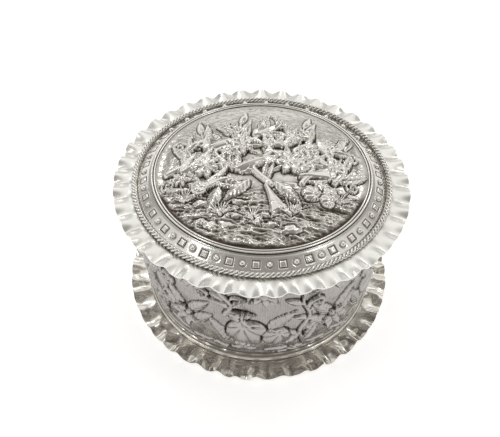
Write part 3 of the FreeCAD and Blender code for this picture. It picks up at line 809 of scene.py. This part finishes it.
def makeBand(band):
    outer = reach("lid_border_band")
    low, high = floorOf("lid_border_band"), topOf("lid_border_band")
    run, rise = outer - mouldOut, high - low
    slope = math.hypot(run, rise)
    thick = band["sheet"] * slope / rise
    rows = band["rows"]
    corners = [(outer - run * step / rows, low + rise * step / rows) for step in range(rows + 1)]
    corners += [(mouldOut - thick, high), (outer - thick, low)]
    piece = spinSection("lid_border_band_studded", corners, band["pairs"] * band["stepsPerPair"])
    points = pointsOf(piece)
    radius = np.hypot(points[:, 0], points[:, 1])
    angle = np.arctan2(points[:, 1], points[:, 0]) - band["start"]
    up = (points[:, 2] - low) / rise
    face = np.abs(radius - (outer - run * up)) < 0.01
    middle = outer - run / 2
    pitch = turn / band["pairs"]
    bead = ((angle / pitch + 0.5) % 1.0 - 0.5) * pitch * middle
    square = ((angle / pitch) % 1.0 - 0.5) * pitch * middle
    along = (up - 0.5) * slope
    far = np.hypot(bead, along)
    push = -0.5 * band["ring"] * np.exp(-((far - band["bead"] - 0.1) / 0.2) ** 2)
    side = band["square"] / 2
    box = np.maximum(np.abs(square), np.abs(along))
    push -= band["ring"] * np.exp(-((box - side) / 0.17) ** 2)
    inside = np.clip((side - 0.15 - box) / 0.35, 0, 1)
    number = np.floor(angle / pitch)
    lines = np.cos((square * np.cos(number * 1.7) + along * np.sin(number * 1.7)) * turn / band["lineMm"])
    push += inside * (band["point"] + 0.05 * lines)
    lowLine = 0.12 * np.exp(-((along + slope / 2 - 0.25) / 0.2) ** 2)
    highLine = 0.1 * np.exp(-((along - slope / 2 + 0.3) / 0.2) ** 2)
    push -= lowLine + highLine
    push = np.where(face, push, 0)
    points[:, 2] += push * run / slope
    points[:, :2] *= (1 + push * rise / slope / radius)[:, None]
    movePoints(piece, points)
    # painted shade, partly patina: darker in the grooves round the beads and squares
    paint(piece, "tarnishAndShade", np.where(face, np.clip(-1.2 * push / band["ring"], 0, 1), 0))

    # one bead, copied round
    across, depth = middle * math.cos(band["start"]), middle * math.sin(band["start"])
    spot = Vector((across, depth, (low + high) / 2)) * mm
    bpy.ops.object.select_all(action="DESELECT")
    bpy.ops.mesh.primitive_uv_sphere_add(segments=20, ring_count=12, radius=band["bead"] * mm, location=spot)
    first = bpy.context.object
    bpy.ops.object.transform_apply(location=True, rotation=True, scale=True)
    beads = [first]
    for number in range(1, band["pairs"]):
        copy = first.copy()
        copy.data = first.data.copy()
        copy.data.transform(Matrix.Rotation(number * pitch, 4, "Z"))
        bpy.context.collection.objects.link(copy)
        beads.append(copy)
    for one in beads:
        one.select_set(True)
        paint(one, "tarnishAndShade", np.zeros(len(one.data.vertices)))
    piece.select_set(True)
    bpy.context.view_layer.objects.active = piece
    bpy.ops.object.join()
    finishPiece(piece, "lid", bandSilver, "lid_border_band", sharp=60)


print("band")
makeBand({"sheet": 0.6, "rows": 26, "pairs": 31, "start": math.radians(6.2), "stepsPerPair": 48, "bead": 1.0,
          "square": 2.4, "ring": 0.2, "point": 0.2, "lineMm": 0.55})


# chased wall

def fruitFrieze(relief, around):
    # the large fruit, rosettes and leaves lie where the solid has them
    rng = np.random.default_rng(4)
    unit = around / 5
    for number in range(5):
        across = unit * (3.75 + number)
        side = across + 0.28 * unit
        far = across + 0.5 * unit
        last = across + 0.765 * unit
        # vines that climb to the mouth
        for spots in (((side + 1, 9), (side - 1, 17), (side + 2, 25), (side - 1, 35), (side + 3, 45)),
                      ((last + 1, 27), (last + 3, 33), (last - 1, 39), (last + 1, 46))):
            relief.vine(through(*spots), 1.9, 0.9, 0.0, 8, 8.5, rng)
        for spot, size, way in (((across + 1.0, 39.5), 4.6, 0.2), ((far + 0.5, 40.0), 4.2, 0.6)):
            relief.spray(spot, size * 1.9, 7, 4.4, turn / 4, 0.9)
            relief.blossom(spot, size, 6, 1.2, 0.2, way, heart=0.3)
        relief.curl((across - 8.0, 34.5), 3.0, 0.4, 1, 0.8, 0.0, 1.3)
        relief.curl((far + 7.0, 34.5), 2.8, 2.6, -1, 0.8, 0.0, 1.3)
        relief.curl((side + 4.2, 31.0), 3.2, math.pi, -1, 0.9, 0.05, 1.5)
        # a large ribbed fruit and a smaller one, with leaves behind them
        for shift, up, length, width, way, bend in (
                (-3.0, 20.5, 12.5, 5.4, 2.2, 0.15), (3.0, 20.5, 12.5, 5.4, 0.9, -0.15),
                (-11.3, 11.5, 13.0, 5.2, 1.9, 0.2), (9.0, 12.0, 7.0, 3.4, 0.5, 0.2)):
            spot = (across + shift, up)
            relief.leaf(spot, length, width, way, 1.2, bend=bend, lobes=4, veins=2.2, cutIn=0.16)
        relief.fruit((across - 4.3, 18.2), 7.2, 1.9, 0.2, turned=-1.35, ribs=11, eye=0.8, line=0.4,
                     hides=True)
        relief.stem(bow((across - 3.4, 23.6), (across - 5.6, 29.0), 0.2), 1.8, 0.9, 0.3, taper=0.3)
        relief.fruit((across + 5.5, 16.4), 5.0, 1.6, 0.2, turned=-1.9, ribs=9, eye=0.7, line=0.4,
                     hides=True)
        # leaves that part under a rosette
        for shift, up, length, width, way, bend in (
                (0.0, 16, 13, 5.6, 0.55, 0.1), (0.0, 16, 13, 5.6, 2.6, -0.1),
                (1.0, 20, 13, 4.6, 1.1, -0.2), (-1.0, 20, 13, 4.6, 2.05, 0.2)):
            spot = (far + shift, up)
            relief.leaf(spot, length, width, way, 1.2, bend=bend, lobes=4, veins=2.2, cutIn=0.16)
        relief.blossom((far, 18.6), 5.2, 6, 1.4, 0.2, 0.4)
        for berry in range(5):
            relief.fruit((last + 5.4 + 1.7 * (berry % 3), 11.5 + 1.5 * (berry // 3)), 1.2, 0.8, 0.1)
    # low bank along the foot
    for number in range(30):
        across = around * number / 30 + rng.normal(0, 1.5)
        relief.rock((across, 8.2 + rng.normal(0, 0.5)), rng.uniform(2.5, 4.5), 0.3, rng.uniform(0.3, 0.6),
                    rng.normal(0, 0.12), seed=number)


def makeWall(wall):
    low, high = floorOf("body_wall"), topOf("body_wall")
    outer = wallOut
    inner = outer - wall["sheet"]
    rows = wall["rows"]
    corners = [(outer, low + (high - low) * step / rows) for step in range(rows + 1)]
    corners += [(inner, high), (inner, (low + high) / 2), (inner, low)]
    piece = spinSection("body_wall_chased", corners, wall["steps"])
    points = pointsOf(piece)
    radius = np.hypot(points[:, 0], points[:, 1])
    angle = np.arctan2(points[:, 1], points[:, 0]) % turn
    face = np.nonzero(np.abs(radius - outer) < 0.05)[0]
    around = turn * outer
    column = np.rint(angle[face] / turn * wall["steps"]).astype(int) % wall["steps"]
    row = np.rint((points[face, 2] - low) / (high - low) * rows).astype(int)
    relief = Relief(angle[face] * outer, points[face, 2], around)
    fruitFrieze(relief, around)
    relief.high += wall["marks"] * rough(relief.x, relief.y, wall["markSize"], 6) * relief.bare
    # raised line that closes the picture at the foot
    off = np.abs(relief.y - wall["lineUp"])
    relief.high += 0.4 * np.exp(-(off / 0.3) ** 2) - 0.2 * np.exp(-((off - 0.8) / 0.25) ** 2)
    field = np.zeros((rows + 1, wall["steps"]))
    field[row, column] = relief.high
    field += 0.6 * (field - soften(field, 2, wraps=True))  # crisper edges
    fade = np.clip((points[face, 2] - low - 4.3) / 0.6, 0, 1)  # plain at the foot and under the mouth wire
    fade *= np.clip((high - 2.5 - points[face, 2]) / 1.5, 0, 1)
    push = field[row, column] * fade
    points[face, :2] *= (1 + push / outer)[:, None]
    movePoints(piece, points)
    field[row, column] = push
    close = (soften(field, 3, wraps=True) - field)[row, column]
    wide = np.clip((soften(field, 30, wraps=True) - field)[row, column], 0, 1)
    # painted shade: darker on slopes that face downward or sideways
    upSlope = np.gradient(field, axis=0) * rows / (high - low)
    sideSlope = (np.roll(field, -1, axis=1) - np.roll(field, 1, axis=1)) * wall["steps"] / around / 2
    steep = np.hypot(np.maximum(upSlope, 0), 0.6 * sideSlope)
    steep = np.clip(steep, 0, 1.2)[row, column]
    tarnishAndShade = np.zeros(len(points))
    bare = np.zeros(len(points))
    # patina in the hollows, and painted shade on the down-facing and side slopes
    tarnishAndShade[face] = np.clip(1.6 * close + 0.15 * wide + 0.26 * steep + 0.12 * relief.bare, -0.3, 1)
    bare[face] = relief.bare
    paint(piece, "tarnishAndShade", tarnishAndShade)
    paint(piece, "bare", bare)
    finishPiece(piece, "box", wallSilver, "body_wall", sharp=60)
    piece.data.materials.append(insideSilver)
    for polygon in piece.data.polygons:
        if math.hypot(polygon.center.x, polygon.center.y) < (inner + 0.1) * mm:
            polygon.material_index = 1


print("wall")
makeWall({"sheet": 0.6, "rows": 126, "steps": 744, "lineUp": 6.1, "marks": 0.07, "markSize": 1.8})


# stage, light and camera

def seenRays(start):
    # 1 for rays from the camera, or by way of metal or glass
    path = start.node("ShaderNodeLightPath")
    glossy = Wire(start.tree, path.socket.node.outputs["Is Glossy Ray"])
    clear = Wire(start.tree, path.socket.node.outputs["Is Transmission Ray"])
    return (path + glossy + clear).clipped()


def makeStage():
    bpy.ops.object.select_all(action="DESELECT")
    bpy.ops.mesh.primitive_circle_add(vertices=96, radius=stage["floorRadius"], fill_type="NGON",
                                      location=(0, 0, -0.02 * mm))
    floor = bpy.context.object
    floor.name = "floor"
    material = bpy.data.materials.new("pale_floor")
    material.use_nodes = True
    tree = material.node_tree
    tree.nodes.clear()
    start = Wire(tree)
    seen = seenRays(start)
    plain = start.node("ShaderNodeBsdfDiffuse", {}, {"Color": rgb(0.9, 0.9, 0.9)})
    glow = start.node("ShaderNodeEmission", {},
                      {"Color": rgb(1, 1, 1), "Strength": seen * stage["floorLift"]})
    both = start.node("ShaderNodeAddShader", {}, {0: plain, 1: glow})
    output = tree.nodes.new("ShaderNodeOutputMaterial")
    tree.links.new(both.socket, output.inputs["Surface"])
    floor.data.materials.append(material)


def makeWorld():
    world = bpy.data.worlds.new("studio")
    bpy.context.scene.world = world
    world.use_nodes = True
    tree = world.node_tree
    tree.nodes.clear()
    start = Wire(tree)
    way = start.node("ShaderNodeTexCoord")

    def patch(towards, wide, core):
        # one round patch, from its soft rim at so many degrees to its even middle
        facing = start.node("ShaderNodeVectorMath", {"operation": "DOT_PRODUCT"},
                            {0: way, 1: Vector(towards).normalized()}, out=1)
        return start.node("ShaderNodeMapRange", {"interpolation_type": "SMOOTHSTEP"},
                          {"Value": facing, "From Min": math.cos(math.radians(wide)),
                           "From Max": math.cos(math.radians(core))})

    lit = patch(stage["panelTowards"], *stage["panelDegrees"])
    for side in (-1, 1):
        across, depth, up = stage["sideTowards"]
        lit = lit + patch((side * across, depth, up), *stage["sideDegrees"]) * stage["sideShare"]
    lit = (lit + patch(stage["lowTowards"], *stage["lowDegrees"])).clipped()
    shade = patch(stage["shadeTowards"], *stage["shadeDegrees"])
    sky = shade.between(lit.between(rgb(*stage["walls"]), rgb(*stage["panel"])), rgb(*stage["dark"]))
    # a white backdrop stands round the floor, up to a low height
    upward = start.node("ShaderNodeSeparateXYZ", {}, {"Vector": way}, out=2)
    soft, full = stage["backdrop"]
    low = start.node("ShaderNodeMapRange", {"interpolation_type": "SMOOTHSTEP"},
                     {"Value": upward, "From Min": soft, "From Max": full})
    sky = (low * seenRays(start)).between(sky, rgb(1, 1, 1))
    back = start.node("ShaderNodeBackground", {}, {"Color": sky, "Strength": 1.0})
    output = tree.nodes.new("ShaderNodeOutputWorld")
    tree.links.new(back.socket, output.inputs["Surface"])


def addSoftbox(name, place, target, size, power):
    bpy.ops.object.light_add(type="AREA", location=place)
    lamp = bpy.context.object
    lamp.name = name
    lamp.data.size = size
    lamp.data.energy = power
    lamp.rotation_euler = (Vector(target) - Vector(place)).to_track_quat("-Z", "Y").to_euler()


def addCamera(view):
    place = Vector(view["place"]) * mm
    tilt = math.radians(view["tilt"])
    forward = Vector((0, math.cos(tilt), -math.sin(tilt)))
    right = Vector((1, 0, 0))
    up = right.cross(forward)
    roll = math.radians(view["roll"])
    rolledRight = right * math.cos(roll) + up * math.sin(roll)
    rolledUp = up * math.cos(roll) - right * math.sin(roll)
    bpy.ops.object.camera_add()
    camera = bpy.context.object
    camera.name = "camera"
    camera.data.sensor_width = 36
    camera.data.lens = view["lens"]
    camera.data.clip_start = 0.01
    axes = Matrix((rolledRight, rolledUp, -forward)).transposed().to_4x4()
    camera.matrix_world = Matrix.Translation(place) @ axes
    bpy.context.scene.camera = camera


print("stage")
stage = {"floorLift": 0.5, "floorRadius": 4.0, "walls": (0.42, 0.415, 0.40), "dark": (0.34, 0.325, 0.30),
         "panel": (1.1, 1.1, 1.08), "panelTowards": (0.0, 0.55, 0.83), "panelDegrees": (40, 20),
         "sideTowards": (0.84, -0.1, 0.53), "sideDegrees": (30, 14), "sideShare": 0.55,
         "lowTowards": (-0.25, -0.95, 0.2), "lowDegrees": (26, 12),
         "shadeTowards": (0.0, -0.63, 0.777), "shadeDegrees": (37, 23), "backdrop": (0.34, 0.26),
         "lamps": (((-0.7, -0.4, 0.4), 0.12), ((-0.25, 0.5, 0.6), 0.18), ((0.4, 0.45, 0.55), 0.18),
                   ((-0.42, -0.1, 0.78), 0.3), ((0.4, -0.05, 0.8), 0.3)),
         "lampSize": 0.13, "lampTarget": (0, 0, 0.03)}
makeStage()
makeWorld()
for number, (place, power) in enumerate(stage["lamps"]):
    addSoftbox(f"softbox_{number}", place, stage["lampTarget"], stage["lampSize"], power)
addCamera({"place": (-3.8, -153.7, 192.03), "tilt": 46.64, "roll": 0.9, "lens": 43.2})
bpy.context.scene.view_settings.view_transform = "Standard"
